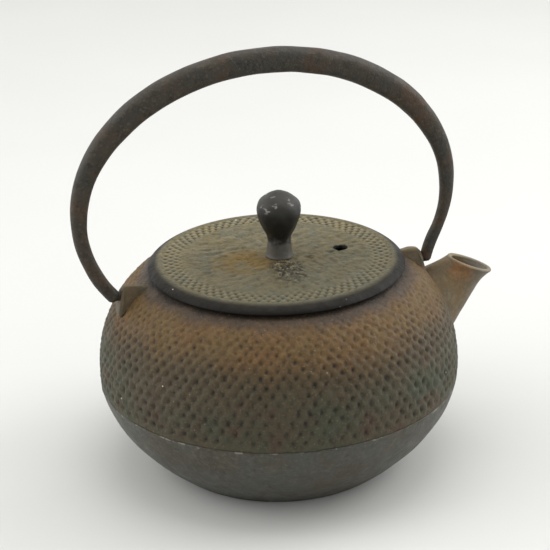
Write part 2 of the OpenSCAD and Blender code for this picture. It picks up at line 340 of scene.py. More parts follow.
def shell_iron():
    """Hobnailed casting: ochre rust on the shoulder, grey-brown at the belly, dark brown at the neck, with a
    near-black painted shadow under the lid's edge and painted shade in the pits.
    """
    p = Paint("shell_iron")
    fine = p.noise(2.2 * MM, 4, 0.65, shift=4)
    belly = p.mix(p.span(p.noise(21 * MM, 4), 0.35, 0.65), "#473f2f", "#3f4233")
    belly = p.mix(p.span(p.noise(12 * MM, 3, shift=9), 0.5, 0.7), belly, "#48392b")
    rust = p.mix(p.span(p.noise(16 * MM, 3, shift=6), 0.35, 0.65), "#5c4828", "#5f4526")
    rust = p.mix(p.span(fine, 0.5, 0.75, 0.0, 0.5), rust, "#6d5832")
    height = p.sum(p.z, p.span(p.noise(32 * MM, 5, 0.65, shift=2), 0.25, 0.75, -4.5 * MM, 4.5 * MM))
    middle = p.mix(p.span(height, 50 * MM, 66 * MM), belly, "#473c29")
    base = p.mix(p.span(height, 62 * MM, 75 * MM), middle, rust)
    neck = p.sum(p.radius, p.span(p.noise(8 * MM, 3, shift=7), 0.3, 0.7, -1.2 * MM, 1.2 * MM))
    base = p.mix(p.span(neck, 54 * MM, 59.5 * MM), "#43362a", base)
    # near-black painted shadow on the neck under the lid's overhanging edge
    base = p.mix(p.span(neck, 51.5 * MM, 54.5 * MM), "#2a221a", base)
    relief = p.relief()
    base = p.mix(p.span(fine, 0.3, 0.55, 0.4, 0.0), base, "#231c14")
    # painted shade in the pits: the lower the relief, the darker
    base = p.mix(p.span(relief, 0.0, 0.8, 0.8, 0.0), base, "#16120d")
    grains = p.span(p.noise(0.9 * MM, 3, 0.7, shift=11), 0.55, 0.75, 0.0, 0.24)
    base = p.mix(grains, base, "#988a6a")
    base = p.dust(base)
    rough = p.span(p.noise(5 * MM, 3, shift=1), 0.2, 0.8, 0.48, 0.7)
    return p.finish(base, rough, [(p.noise(1.8 * MM, 4, 0.65), 0.5 * MM), (p.noise(0.6 * MM, 3), 0.12 * MM)])


def bowl_iron():
    """Smooth lower wall: dark grey with olive and brown stains, painted shade towards the foot and a painted
    highlight along the mould line's flash.
    """
    p = Paint("bowl_iron")
    base = p.mix(p.span(p.noise(19 * MM, 4), 0.38, 0.66), "#474741", "#433e33")
    base = p.mix(p.span(p.noise(11 * MM, 4, shift=4), 0.55, 0.72), base, "#4d4a3e")
    base = p.mix(p.span(p.noise(1.8 * MM, 4, shift=3), 0.45, 0.75, 0.0, 0.4), base, "#66645c")
    base = p.mix(p.span(p.noise(2.6 * MM, 4, 0.65, shift=6), 0.25, 0.5, 0.45, 0.0), base, "#24221d")
    # painted shade near the floor: the wall darkens towards the foot
    foot = p.span(p.z, 1 * MM, 9 * MM, 0.5, 0.0)
    base = p.mix(foot, base, "#2c2923")
    # painted highlight where the flash of metal below the mould line catches the light
    flash = p.times(p.span(p.z, SEAM_Z - 1.1 * MM, SEAM_Z - 0.5 * MM),
                    p.span(p.noise(4 * MM, 3, shift=13), 0.54, 0.62))
    base = p.mix(flash, base, "#77736a")
    base = p.dust(base)
    rough = p.span(p.noise(6 * MM, 3, shift=1), 0.2, 0.8, 0.38, 0.58)
    return p.finish(base, rough, [(p.noise(2.4 * MM, 4, 0.65), 0.3 * MM), (p.noise(0.6 * MM, 3), 0.08 * MM)])


def spout_iron():
    """Brown rust, orange by the rim on one side and grey towards the tip, with painted shade deep inside and
    a painted highlight on the lip.
    """
    p = Paint("spout_iron")
    base = p.mix(p.span(p.noise(9 * MM, 4), 0.35, 0.65), "#645338", "#5a4d37")
    rust = p.spot((79 * MM, -7 * MM, 74 * MM), 1 * MM, 8 * MM)
    base = p.mix(p.times(rust, p.span(p.noise(4 * MM, 3, shift=2), 0.3, 0.6, 0.0, 0.85)), base, "#84562e")
    grey = p.span(p.sum(p.x, p.times(p.z, -0.35)), 55 * MM, 66 * MM)
    base = p.mix(p.times(grey, p.span(p.noise(7 * MM, 3, shift=6), 0.3, 0.6, 0.3, 1.0)), base, "#66615a")
    base = p.mix(p.span(p.noise(1.6 * MM, 3, shift=5), 0.4, 0.8, 0.0, 0.3), base, "#8c8068")
    relief = p.relief()
    # painted shade inside the spout, darkest deepest in
    base = p.mix(p.span(relief, 0.0, 1.0), "#3a3322", base)
    # painted highlight on the lip
    base = p.mix(p.span(relief, 1.0, 2.0, 0.0, 0.45), base, "#8f866f")
    base = p.dust(base)
    rough = p.span(p.noise(5 * MM, 3, shift=1), 0.2, 0.8, 0.42, 0.65)
    return p.finish(base, rough, [(p.noise(2 * MM, 4), 0.2 * MM), (p.noise(0.6 * MM, 3), 0.06 * MM)])


def lug_iron():
    """Brown rust over dark iron, with painted light on the lug's top."""
    p = Paint("lug_iron")
    base = p.mix(p.span(p.noise(5 * MM, 4), 0.35, 0.65), "#524430", "#46402f")
    base = p.mix(p.span(p.noise(1.5 * MM, 3, shift=3), 0.4, 0.8, 0.0, 0.25), base, "#78694e")
    # painted light: the lug lightens towards its top
    base = p.mix(p.span(p.z, 82.6 * MM, 84 * MM, 0.0, 0.5), base, "#86795c")
    rough = p.span(p.noise(4 * MM, 3, shift=1), 0.2, 0.8, 0.45, 0.68)
    return p.finish(base, rough, [(p.noise(1.6 * MM, 4), 0.2 * MM), (p.noise(0.5 * MM, 3), 0.06 * MM)])


def lid_iron():
    """Worn grey-olive top with ochre rust beside the stem and a dark crust before it; smooth dark edge.
    Painted shade darkens the pits, the front half and the edge's downturned side; painted highlights light
    the ridges between the pits.
    """
    p = Paint("lid_iron", 0.15)
    base = p.mix(p.span(p.noise(13 * MM, 4), 0.35, 0.65), "#675e45", "#5e5c4c")
    base = p.mix(p.span(p.noise(4 * MM, 4, shift=5), 0.45, 0.7), base, "#72674b")
    base = p.mix(p.span(p.noise(2.6 * MM, 4, 0.7, (2.4, 0.8, 1), 6.3), 0.47, 0.68, 0.0, 0.5), base, "#2c2820")
    rust = p.spot((-13 * MM, -3 * MM, LID_TOP), 4 * MM, 19 * MM)
    base = p.mix(p.times(rust, p.span(p.noise(7 * MM, 3, shift=2), 0.25, 0.55)), base, "#6f5829")
    crust = p.sum(p.spot((1 * MM, -12 * MM, LID_TOP), 4 * MM, 10 * MM),
                  p.spot((0, -23 * MM, LID_TOP), 3 * MM, 11 * MM))
    flakes = p.span(p.noise(2.0 * MM, 4, 0.75, shift=8), 0.44, 0.52)
    base = p.mix(p.times(crust, flakes), base, "#1c1813")
    grains = p.span(p.noise(1.7 * MM, 3, 0.7, shift=12), 0.56, 0.64)
    base = p.mix(p.times(crust, grains), base, "#8f846a")
    base = p.mix(p.span(p.noise(1.4 * MM, 3, shift=4), 0.45, 0.8, 0.0, 0.35), base, "#8d8267")
    relief = p.relief()
    # painted shade in the pits: the lower the relief, the darker
    base = p.mix(p.span(relief, 0.15, 0.75, 1.0, 0.0), base, "#0c0a08")
    # painted highlight on the ridges between the pits
    band = p.times(p.span(p.radius, 38 * MM, 40 * MM), p.span(p.radius, 46 * MM, 47.4 * MM, 1.0, 0.0))
    base = p.mix(p.times(band, p.span(relief, 0.7, 1.0, 0.0, 0.6)), base, "#8d8468")
    # painted shade: the top darkens towards its front half
    base = p.mix(p.span(p.y, -48 * MM, 22 * MM, 0.5, 0.0), base, "#47463a")
    # the rounded edge: its own dark iron, darkened further as painted shade where it curves down
    edge = p.span(p.radius, 47.6 * MM, 50.4 * MM)
    worn = p.mix(p.span(p.noise(5 * MM, 3, shift=7), 0.35, 0.7), "#1b1813", "#231f19")
    base = p.mix(edge, base, worn)
    # near-black painted shade on the lid's side below the top
    low = p.span(p.z, LID_TOP - 3 * MM, LID_TOP - 0.8 * MM, 1.0, 0.0)
    base = p.mix(low, base, "#0f0d0a")
    base = p.dust(base)
    rough = p.span(p.noise(5 * MM, 3, shift=1), 0.2, 0.8, 0.45, 0.66)
    return p.finish(base, rough, [(p.noise(2.2 * MM, 4), 0.4 * MM), (p.noise(0.6 * MM, 3), 0.06 * MM)])


def knob_iron():
    """Near-black iron, rubbed smooth, with a few grey scuffs, grey dust on the stem and a painted sheen that
    lightens the top of the bud.
    """
    p = Paint("knob_iron", 0.4)
    base = p.mix(p.span(p.noise(5 * MM, 4), 0.35, 0.7), "#141310", "#1c1b18")
    # painted sheen: the bud lightens towards its top
    base = p.mix(p.span(p.z, 107 * MM, 113 * MM, 0.0, 0.8), base, "#302e29")
    scuff = p.times(p.span(p.noise(2.6 * MM, 3, stretch=(1.5, 1, 0.7), shift=3), 0.6, 0.68),
                    p.span(p.z, 108 * MM, 110 * MM))
    base = p.mix(scuff, base, "#76746e")
    dusty = p.sum(p.z, p.span(p.noise(3 * MM, 4, shift=7), 0.25, 0.75, -3.5 * MM, 3.5 * MM))
    base = p.mix(p.span(dusty, 91 * MM, 98 * MM, 0.9, 0.0), base, "#56534c")
    rough = p.span(p.noise(4 * MM, 3, shift=1), 0.2, 0.8, 0.4, 0.6)
    return p.finish(base, rough, [(p.noise(1.8 * MM, 4), 0.2 * MM), (p.noise(0.5 * MM, 3), 0.05 * MM)])


def bail_iron():
    """Charcoal iron with reddish rust patches and thin scratches along the bar."""
    p = Paint("bail_iron")
    base = p.mix(p.span(p.noise(12 * MM, 4), 0.4, 0.65), "#35322c", "#3b342a")
    base = p.mix(p.span(p.noise(14 * MM, 4, shift=6), 0.52, 0.68, 0.0, 0.8), base, "#463424")
    base = p.mix(p.span(p.noise(3 * MM, 4, 0.7, shift=8), 0.3, 0.52, 0.6, 0.0), base, "#1c1a16")
    base = p.mix(p.span(p.noise(1.2 * MM, 3, 0.7, shift=3), 0.5, 0.75, 0.0, 0.32), base, "#6c6253")
    rough = p.span(p.noise(6 * MM, 3, shift=1), 0.2, 0.8, 0.42, 0.62)
    return p.finish(base, rough, [(p.noise(2.4 * MM, 4, 0.65), 0.4 * MM), (p.noise(0.6 * MM, 3), 0.1 * MM)])


def steel(name, tone, roughness):
    """Dulled steel with a fine grain; the metal's share is the same all over."""
    p = Paint(name, 0.5)
    base = p.mix(p.span(p.noise(8 * MM, 3), 0.35, 0.65), tone, "#8f8d86")
    rough = p.span(p.noise(3 * MM, 3, shift=1), 0.2, 0.8, roughness, roughness + 0.15)
    p.bsdf.inputs["Metallic"].default_value = 1.0
    return p.finish(base, rough, [(p.noise(0.7 * MM, 3), 0.03 * MM)])


# ---- Pot body ----

def wall_radius(z):
    """Radius of the pot's outside at height z."""
    low = POT_R - (POT_R - BASE_R) * ((BELLY_Z - z) / BELLY_Z) ** 2
    high = CORE_R + SHOULDER_W * np.sqrt(np.clip(1 - ((z - BELLY_Z) / SHOULDER_H) ** 2, 0, 1))
    return np.where(z < BELLY_Z, low, high)


BUMPS_ROUND = 96
COLUMNS_PER_BUMP = 7
BUMP_ROWS = 16
RINGS_PER_ROW = 6
BUMP_SPREAD = 0.56
BUMP_DEPTH = 1.15 * MM
BUMP_TOP_Z = 82 * MM

# half sizes of the bare patches round the spout's root and the lugs
SPOUT_ROOT_Z = 59 * MM
SPOUT_PATCH_Y, SPOUT_PATCH_Z = 15.5 * MM, 17 * MM
LUG_PATCH_X, LUG_PATCH_Y = 11 * MM, 6.5 * MM


def shell_heights(count):
    """Heights from the mould line to the rim, closest together at the rim."""
    return SEAM_Z + (RIM_Z - SEAM_Z) * np.sin(np.linspace(0, 1, count) * math.pi / 2)


def shell_outline():
    """Outer outline from the mould line to the rim, and the count of bump rows at each of its points."""
    z = shell_heights(4000)
    r = wall_radius(z)
    step = np.hypot(np.diff(r), np.diff(z))
    pitch = 2 * math.pi * r / BUMPS_ROUND * np.interp(z, [SEAM_Z, BUMP_TOP_Z], [0.76, 0.6])
    rows = np.concatenate([[0], np.cumsum(step / pitch[1:])])
    rows *= BUMP_ROWS / np.interp(BUMP_TOP_Z, z, rows)
    wanted = np.arange(BUMP_ROWS * RINGS_PER_ROW + 1) / RINGS_PER_ROW
    plain_band = np.linspace(BUMP_ROWS, rows[-1], 7)[1:]
    wanted = np.concatenate([wanted, plain_band])
    return np.stack([np.interp(wanted, rows, r), np.interp(wanted, rows, z)], -1), wanted


def inner_wall(low, high, count):
    """Inner outline from height high down to height low, a wall's thickness inside the outer one."""
    z = shell_heights(400)
    outer = np.stack([wall_radius(z), z], -1)
    inner = outer - WALL * outward(outer)
    heights = high + (low - high) * np.linspace(0, 1, count)
    return np.stack([np.interp(heights, inner[:, 1], inner[:, 0]), heights], -1)


def clear_of_fittings(rings):
    """1 on the open shell, falling to 0 where the spout and the lugs grow out of it."""
    x, y, z = rings[..., 0], rings[..., 1], rings[..., 2]
    far_side = 9 * (x < 0)
    spout = np.hypot(y / SPOUT_PATCH_Y, (z - SPOUT_ROOT_Z) / SPOUT_PATCH_Z) + far_side
    front = np.hypot(y / LUG_PATCH_Y, (x - FRONT_LUG_LO.x) / LUG_PATCH_X)
    rear = np.hypot(y / LUG_PATCH_Y, (x - REAR_LUG_HI.x) / LUG_PATCH_X)
    return smooth(spout, 0.95, 1.12) * smooth(front, 0.85, 1.15) * smooth(rear, 0.85, 1.15)


def upper_shell(material):
    """The hobnailed shell from the mould line up, with the lid's recess and the ledge under it."""
    outline, rows = shell_outline()
    columns = COLUMNS_PER_BUMP * BUMPS_ROUND
    rings = turned(outline, columns)
    turn = np.arange(columns) / COLUMNS_PER_BUMP
    u = (np.repeat(turn[None], len(rows), 0)
         + 0.04 * ripple(rings, 20 * MM, 3) + 0.035 * ripple(rings, 5 * MM, 7))
    v = (np.repeat(rows[:, None], columns, 1)
         + 0.05 * ripple(rings, 19 * MM, 4) + 0.06 * ripple(rings, 5 * MM, 8))
    relief = staggered(u, v, BUMP_SPREAD)
    fade = np.interp(rows, [0, BUMP_ROWS - 8, BUMP_ROWS - 4, BUMP_ROWS - 1, BUMP_ROWS], [1, 1, 0.75, 0.45, 0])
    share = (fade * smooth(rows, 0.1, 0.9))[:, None] * clear_of_fittings(rings)
    worn = np.clip(0.9 + 0.12 * ripple(rings, 14 * MM, 5) + 0.11 * ripple(rings, 4 * MM, 9), 0.4, 1.15)
    sunk = BUMP_DEPTH * (1 - relief) * share * worn
    sunk += np.clip(0.05 * MM * (2 + ripple(rings, 16 * MM, 6) + ripple(rings, 2.4 * MM, 10)), 0, 1)
    rings = moved_out(rings, outline, -sunk)
    relief = 1 - (1 - relief) * share * worn
    neck = [(RECESS_R, RIM_Z), (RECESS_R, LEDGE_Z), (MOUTH_R, LEDGE_Z), (MOUTH_R, LEDGE_Z - 2.2 * MM)]
    inside = inner_wall(SEAM_Z, LEDGE_Z - 2.8 * MM, 14)
    inner = turned(rounded(np.concatenate([outline[-1:], neck, inside]), 0.3 * MM)[1:], columns)
    piece = skin("shell", np.concatenate([rings, inner]), loop=True)
    relief_of(piece, np.concatenate([relief, np.ones(inner.shape[:2])]))
    cut(piece, spout_channel())
    finished(piece, "pot", "shell_iron", material, "upper_shell")


def lower_bowl(material):
    """The wall below the mould line, with a slightly hollow foot and a flash of metal along the line."""
    z = np.linspace(0, 1, 48) * SEAM_Z
    outer = np.stack([wall_radius(z), z], -1)
    recess = 0.7 * MM
    foot_in = BASE_R - 7 * MM
    under = [(1 * MM, recess), (foot_in - 1.5 * MM, recess), (foot_in, 0)]
    inner = (outer - [WALL, 0])[outer[:, 1] > FLOOR_T + 3 * MM][::-1]
    floor = [(inner[-1, 0] - 5 * MM, FLOOR_T), (1 * MM, FLOOR_T)]
    outline = np.concatenate([rounded(under + [tuple(outer[0]), tuple(outer[1])], 0.8 * MM)[:-1], outer[1:],
                              inner, floor])
    rings = turned(outline, 360)
    lift = np.clip(ripple(rings, 9 * MM, 12) + 0.4, 0, 2)
    seam = np.exp(-((outline[:, 1] - SEAM_Z + 0.5 * MM) / (0.35 * MM)) ** 2)
    seam *= outline[:, 0] > POT_R - 0.6 * MM
    uneven = 0.07 * MM * ripple(rings, 21 * MM, 11)
    uneven[(outline[:, 1] < 1 * MM) & (outline[:, 0] > foot_in - 1 * MM)] = 0
    rings = moved_out(rings, outline, uneven - 0.07 * MM + 0.22 * MM * seam[:, None] * lift)
    rings[..., 2] = np.clip(rings[..., 2], 0, SEAM_Z)
    finished(skin("bowl", rings), "pot", "bowl_iron", material, "lower_bowl")


# ---- Spout ----

SPOUT_WALL = 1.8 * MM
SPOUT_SIDES = 64

# millimetres: the two outlines as Bezier points (x, z), and half widths at shares of the length
SPOUT_LOWER = [(70, 40), (80, 50.5), (85.2, 60), (88.2, 66), (94.2, 69.4)]
SPOUT_UPPER = [(60.5, 71), (65.5, 73.6), (71, 76), (75, 77.2)]
SPOUT_SHARES = [0, 0.25, 0.5, 0.75, 0.92, 1]
SPOUT_HALF_WIDTHS = [15.5, 11.6, 8.6, 7.1, 7.4, 8.0]


def curve(points, t):
    """A Bezier curve of points in millimetres, through its end points, at each t from 0 to 1."""
    points = np.array(points) * MM
    order = len(points) - 1
    total = 0
    for i, point in enumerate(points):
        share = math.comb(order, i) * t ** i * (1 - t) ** (order - i)
        total = total + share[:, None] * point
    return total


def spout_rings(stations, inset):
    """Oval rings along the spout, between its lower and upper outlines, drawn in by inset."""
    t = np.array(stations)
    lower = curve(SPOUT_LOWER, t)
    upper = curve(SPOUT_UPPER, t)
    half = (upper - lower) / 2
    reach = np.linalg.norm(half, axis=1)[:, None]
    half = half / reach * (reach - inset)
    width = np.interp(t, SPOUT_SHARES, SPOUT_HALF_WIDTHS) * MM
    width = np.convolve(np.pad(width, 2, "edge"), np.ones(5) / 5, "valid") - inset
    turn = around(SPOUT_SIDES)
    centre = (upper + lower) / 2
    x = centre[:, :1] + half[:, :1] * np.cos(turn)
    z = centre[:, 1:] + half[:, 1:] * np.cos(turn)
    y = width[:, None] * np.sin(turn)
    return np.stack([x, y, z], -1)


def spout_channel():
    """The space inside the spout where it goes through the pot's wall."""
    rings = spout_rings(np.linspace(0, 0.6, 16), SPOUT_WALL)
    into_pot = rings[:1] - [8 * MM, 0, 5 * MM]
    return skin("channel", np.concatenate([into_pot, rings]))


def spout(material):
    """The spout's tube with a rounded lip; its relief is 2 on the lip, 1 outside and 0 deep inside, which the
    material turns into a painted highlight on the lip and painted shade inside.
    """
    stations = np.linspace(0, 1, 40)
    outer = spout_rings(stations, 0)
    inner = spout_rings(stations, 1.1 * SPOUT_WALL)[::-1]
    across = outer[-1, 0] - outer[-1, SPOUT_SIDES // 2]
    rise = np.cross([0, 1, 0], across / np.linalg.norm(across))
    rise *= np.sign(rise[2])
    lip = []
    for turn in np.radians([30, 60, 90, 120, 150]):
        share = (1 - math.cos(turn)) / 2
        ring = outer[-1] * (1 - share) + inner[0] * share
        lip.append(ring + rise * SPOUT_WALL * 0.5 * math.sin(turn))
    rings = np.concatenate([outer, lip, inner])
    rings = rings + 0.08 * MM * ripple(rings, 12 * MM, 21)[..., None] * np.array([0, 1, 0.6])
    piece = skin("spout_tube", rings, loop=True)
    lit = np.ones(rings.shape[:2])
    lit[len(outer):-len(inner)] = 2
    lit[-len(inner):] = np.clip(1.1 - np.arange(len(inner)) / 12, 0, 1)[:, None]
    relief_of(piece, lit)
    finished(piece, "pot", "spout_iron", material, "spout")


# ---- Lugs ----

# (distance from the pot's axis, height) in millimetres, from the top at the shoulder outwards
FRONT_LUG_PROFILE = [(51.5, 83.2), (55, 83.8), (58.5, 84), (61.2, 83.6), (62.4, 82), (62.8, 79),
                     (63.6, 75.5), (64.8, 72)]
REAR_LUG_PROFILE = [(52.5, 81.8), (56, 82.4), (60, 83), (63, 83), (64.7, 82.1), (65.4, 79), (66.3, 75),
                    (67.2, 71)]
LUG_ROUND = 0.76

def eased(points, times=3):
    """A closed outline with its corners cut, times over."""
    for _ in range(times):
        after = np.roll(points, -1, 0)
        points = np.stack([0.75 * points + 0.25 * after, 0.25 * points + 0.75 * after], 1).reshape(-1, 2)
    return points


def lug(name, profile, side, pin_low, pin_high, material, node):
    """A wedge that grows out of the shoulder, drilled for the pin; side is 1 by the spout, -1 at the back."""
    profile = np.array(profile) * MM
    buried = 2 * MM
    z = np.linspace(profile[-1, 1], profile[0, 1] - buried, 12)
    outline = eased(np.concatenate([profile, np.stack([wall_radius(z) - buried, z], -1)]))
    way = unit(np.roll(outline, -1, 0) - np.roll(outline, 1, 0))
    inward = np.stack([way[:, 1], -way[:, 0]], -1)
    half = FRONT_LUG_HI.y
    rings = []
    for share in (-1, -0.96, -0.88, -LUG_ROUND, -0.4, 0, 0.4, LUG_ROUND, 0.88, 0.96, 1):
        inset = 1.1 * MM * max(0, (abs(share) - LUG_ROUND) / 0.24) ** 2
        here = outline + inward * inset
        depth = (profile[:, 1].max() - here[:, 1]) / (14 * MM)
        thick = 0.4 + 0.6 * smooth(depth, 0, 0.35) + 0.3 * depth ** 2
        rings.append(np.stack([side * here[:, 0], half * share * thick, here[:, 1]], -1))
    rings = np.array(rings)
    rings = rings + 0.1 * MM * ripple(rings, 6 * MM, 31)[..., None] * np.array([0, 1, 0.5])
    piece = skin(name, rings)
    turn = around(40)
    r = (pin_high.z - pin_low.z) / 2 + 0.1 * MM
    hole = [np.stack([x + 0 * turn, r * np.cos(turn), PIVOT_Z + r * np.sin(turn)], -1)
            for x in (pin_low.x - 0.4 * MM * side, pin_high.x + 0.4 * MM * side)]
    cut(piece, skin("hole", np.array(hole)))
    finished(piece, "pot", "lug_iron", material, node)


# ---- Bail handle ----

# the arch: how far its middle lies behind the pot's axis, its half width, its centre's height,
# its rise, and the height where the bent ends begin
ARCH_SHIFT = 3 * MM
ARCH_W = 76.8 * MM
ARCH_Z = 111 * MM
ARCH_H = 59.7 * MM
ARCH_FOOT_Z = 89 * MM

# the rest of each bent end's Bezier points (x, z), in millimetres
FRONT_BEND = [(66.4, 84.8), (65.4, 81.4), (64.8, 78.9)]
REAR_BEND = [(-72.4, 85), (-70.1, 81.6), (-67.9, 79)]

# the bar's thickness, its width as a share of that at the crown, and how square its section is
BAR_CROWN = 10.3 * MM
BAR_FRONT = 4.9 * MM
BAR_REAR = 5.9 * MM
BAR_WIDTH = 0.9
BAR_SQUARENESS = 2.3

# how much shorter the rear pin is than in the frame, at the end inside the bar
REAR_PIN_CUT = 2.6 * MM


def bail(material):
    """An arch of flattened round bar whose ends bend in towards the lugs."""
    foot = math.asin((ARCH_FOOT_Z - ARCH_Z) / ARCH_H)
    angles = np.linspace(foot, math.pi - foot, 190)
    arch = np.stack([ARCH_W * np.cos(angles) - ARCH_SHIFT, ARCH_Z + ARCH_H * np.sin(angles)], -1)
    t = np.linspace(0, 1, 17)[1:]
    front = curve([arch[0] / MM] + FRONT_BEND, t)
    rear = curve([arch[-1] / MM] + REAR_BEND, t)
    centre = np.concatenate([front[::-1], arch, rear])
    way = unit(np.gradient(centre, axis=0))
    normal = np.stack([way[:, 1], 0 * way[:, 0], -way[:, 0]], -1)
    centre = np.insert(centre, 1, 0, axis=1)
    side = np.degrees(math.pi / 2 - np.abs(math.pi / 2 - angles))
    swell = np.pad(smooth(side, -20, 54), len(t), "edge")
    thin = np.linspace(BAR_FRONT, BAR_REAR, len(swell))
    height = thin + (BAR_CROWN - thin) * swell
    width = thin + (BAR_WIDTH * BAR_CROWN - thin) * swell
    turn = around(36)
    flat = 2 / BAR_SQUARENESS
    up = np.sign(np.cos(turn)) * np.abs(np.cos(turn)) ** flat
    out = np.sign(np.sin(turn)) * np.abs(np.sin(turn)) ** flat
    rings = (centre[:, None] + normal[:, None] * (height / 2)[:, None, None] * up[None, :, None]
             + np.array([0, 1, 0]) * ((width / 2)[:, None] * out)[..., None])
    away = unit(rings - centre[:, None])
    hammer = -0.07 * MM * np.clip(1 + ripple(rings, 16 * MM, 41), 0, 3)
    rings = rings + away * hammer[..., None]
    ends = []
    for share in (0.97, 0.85, 0.6):
        squeeze = math.sqrt(1 - share ** 2)
        step = share * 0.35 * BAR_FRONT
        ends.append([centre[i] + (rings[i] - centre[i]) * squeeze + sign * step * np.insert(way[i], 1, 0)
                     for i, sign in ((0, -1), (-1, 1))])
    rings = np.concatenate([[first for first, _ in ends], rings, [last for _, last in ends[::-1]]])
    finished(skin("bail", rings), "bail", "bail_iron", material, "bail_handle")


def pin(name, low, high, material, node):
    """A pivot pin with rounded ends and a slight waist, lying along X."""
    r = (high.z - low.z) / 2
    x = np.array([low.x, low.x, low.x + 0.5 * MM, (low.x + high.x) / 2, high.x - 0.5 * MM, high.x, high.x])
    size = np.array([0.3, 0.8, 1, 0.94, 1, 0.8, 0.3]) * r
    sides = 32
    turn = around(sides)
    y = size[:, None] * np.cos(turn)
    z = (low.z + high.z) / 2 + size[:, None] * np.sin(turn)
    rings = np.stack([np.repeat(x[:, None], sides, 1), y, z], -1)
    finished(skin(name, rings), "bail", "bail_iron", material, node)


# ---- Lid and knob ----

LID_PITS = 76
COLUMNS_PER_PIT = 8
LID_PIT_ROWS = 4
RINGS_PER_PIT = 7
PIT_SPREAD = 0.42
PIT_DEPTH = 1.0 * MM
PIT_IN = 38.6 * MM
PIT_OUT = 47.6 * MM
LID_FLAT_R = 48 * MM
SKIRT_R = 40.8 * MM
SKIRT_T = 2 * MM
VENT_X = 27.5 * MM
VENT_R = 3 * MM

# the knob's outline from the bottom of its stem, in millimetres, and its top's flat
KNOB_RADII = [6.0, 5.5, 5.2, 5.0, 4.9, 5.6, 6.8, 7.7, 8.5, 9.0, 9.2, 9.0, 8.1, 6.5, 4.4, 2.6]
KNOB_HEIGHTS = [0, 1.5, 4, 6.5, 8.3, 10.2, 12.3, 14.4, 16.4, 18.4, 20.3, 22.2, 23.9, 25.4, 26.6, 27.4]
KNOB_FLAT_R = 1.4 * MM


def lid(material):
    """The flat lid: a rough middle, a band of pits, a rounded edge, the skirt under it and the vent."""
    rise = 0.12 * MM
    centre = [(r, LID_TOP - rise) for r in np.linspace(1.5 * MM, PIT_IN, 46)]
    band = [(r, LID_TOP - rise) for r in np.linspace(PIT_IN, PIT_OUT, LID_PIT_ROWS * RINGS_PER_PIT + 1)[1:]]
    edge_z = RIM_Z + 0.5 * MM
    edge = []
    bevel = 1.4
    for turn in np.radians(np.linspace(90, 0, 13)):
        edge.append((LID_FLAT_R + (LID_R - LID_FLAT_R) * math.cos(turn) ** bevel,
                     edge_z + (LID_TOP - rise - edge_z) * math.sin(turn) ** bevel))
    under = [(LID_R - 0.6 * MM, RIM_Z), (SKIRT_R, RIM_Z), (SKIRT_R, LID_LO.z),
             (SKIRT_R - SKIRT_T, LID_LO.z), (SKIRT_R - SKIRT_T, RIM_Z), (1.5 * MM, RIM_Z)]
    outline = np.concatenate([centre, band, edge, rounded([edge[-1]] + under, 0.3 * MM)[1:]])
    columns = COLUMNS_PER_PIT * LID_PITS
    rings = turned(outline, columns)
    r = outline[:, 0]
    top = (outline[:, 1] > LID_TOP - 0.2 * MM) & (r < LID_FLAT_R + 0.1 * MM)
    rows = (r - PIT_IN) / (PIT_OUT - PIT_IN) * LID_PIT_ROWS
    u = np.repeat(np.arange(columns)[None] / COLUMNS_PER_PIT, len(r), 0)
    relief = staggered(u, rows[:, None] + 0 * u, PIT_SPREAD)
    share = (smooth(r, PIT_IN - 0.5 * MM, PIT_IN + 0.8 * MM)
             * smooth(r, PIT_OUT + 0.1 * MM, PIT_OUT - 0.8 * MM) * top)
    sunk = PIT_DEPTH * (1 - relief) * share[:, None]
    rough = (smooth(r, PIT_IN + 1 * MM, PIT_IN - 3 * MM) * smooth(r, 5 * MM, 9 * MM) * top)[:, None]
    coarse = 0.26 * MM * np.clip(ripple(rings * [0.7, 1.2, 1], 5 * MM, 51), -1, 2)
    coarse += 0.2 * MM * ripple(rings * [0.8, 1.2, 1], 2.2 * MM, 52)
    crust = smooth(np.hypot(rings[..., 0], 0.6 * (rings[..., 1] + 16 * MM)), 9 * MM, 4 * MM)
    coarse += crust * 0.4 * MM * np.clip(ripple(rings, 2.4 * MM, 53), -0.2, 2)
    sunk += rough * np.clip(coarse, -rise, 1)
    rings[..., 2] -= sunk
    piece = skin("lid_plate", rings[::-1])
    relief_of(piece, (1 - (1 - relief) * share[:, None])[::-1])
    cut(piece, drill(VENT_X, 0, RIM_Z - 3 * MM, LID_TOP + 3 * MM, VENT_R))
    finished(piece, "lid", "lid_iron", material, "lid")


def knob(material):
    """A stem that swells into a bud with a blunt, slightly faceted top."""
    radii = np.array(KNOB_RADII) * MM
    heights = np.array(KNOB_HEIGHTS) * MM
    fine = np.linspace(0, 1, 64)
    steps = np.linspace(0, 1, len(radii))
    outline = np.stack([np.interp(fine, steps, radii), KNOB_LO.z + np.interp(fine, steps, heights)], -1)
    kernel = np.ones(5) / 5
    for i in (0, 1):
        outline[2:-2, i] = np.convolve(outline[:, i], kernel, "valid")
    outline = np.concatenate([outline, [(KNOB_FLAT_R, KNOB_HI.z - 0.5 * MM)]])
    rings = turned(outline, 72, (KNOB_X, 0))
    centre = np.array([KNOB_X, 0, 0])
    way = unit((rings - centre) * [1, 1, 0])
    dents = -0.12 * MM * np.clip(1 + ripple(rings, 7 * MM, 61), 0, 3)
    rings = rings + way * dents[..., None]
    finished(skin("knob_bud", rings), "lid", "knob_iron", material, "knob")


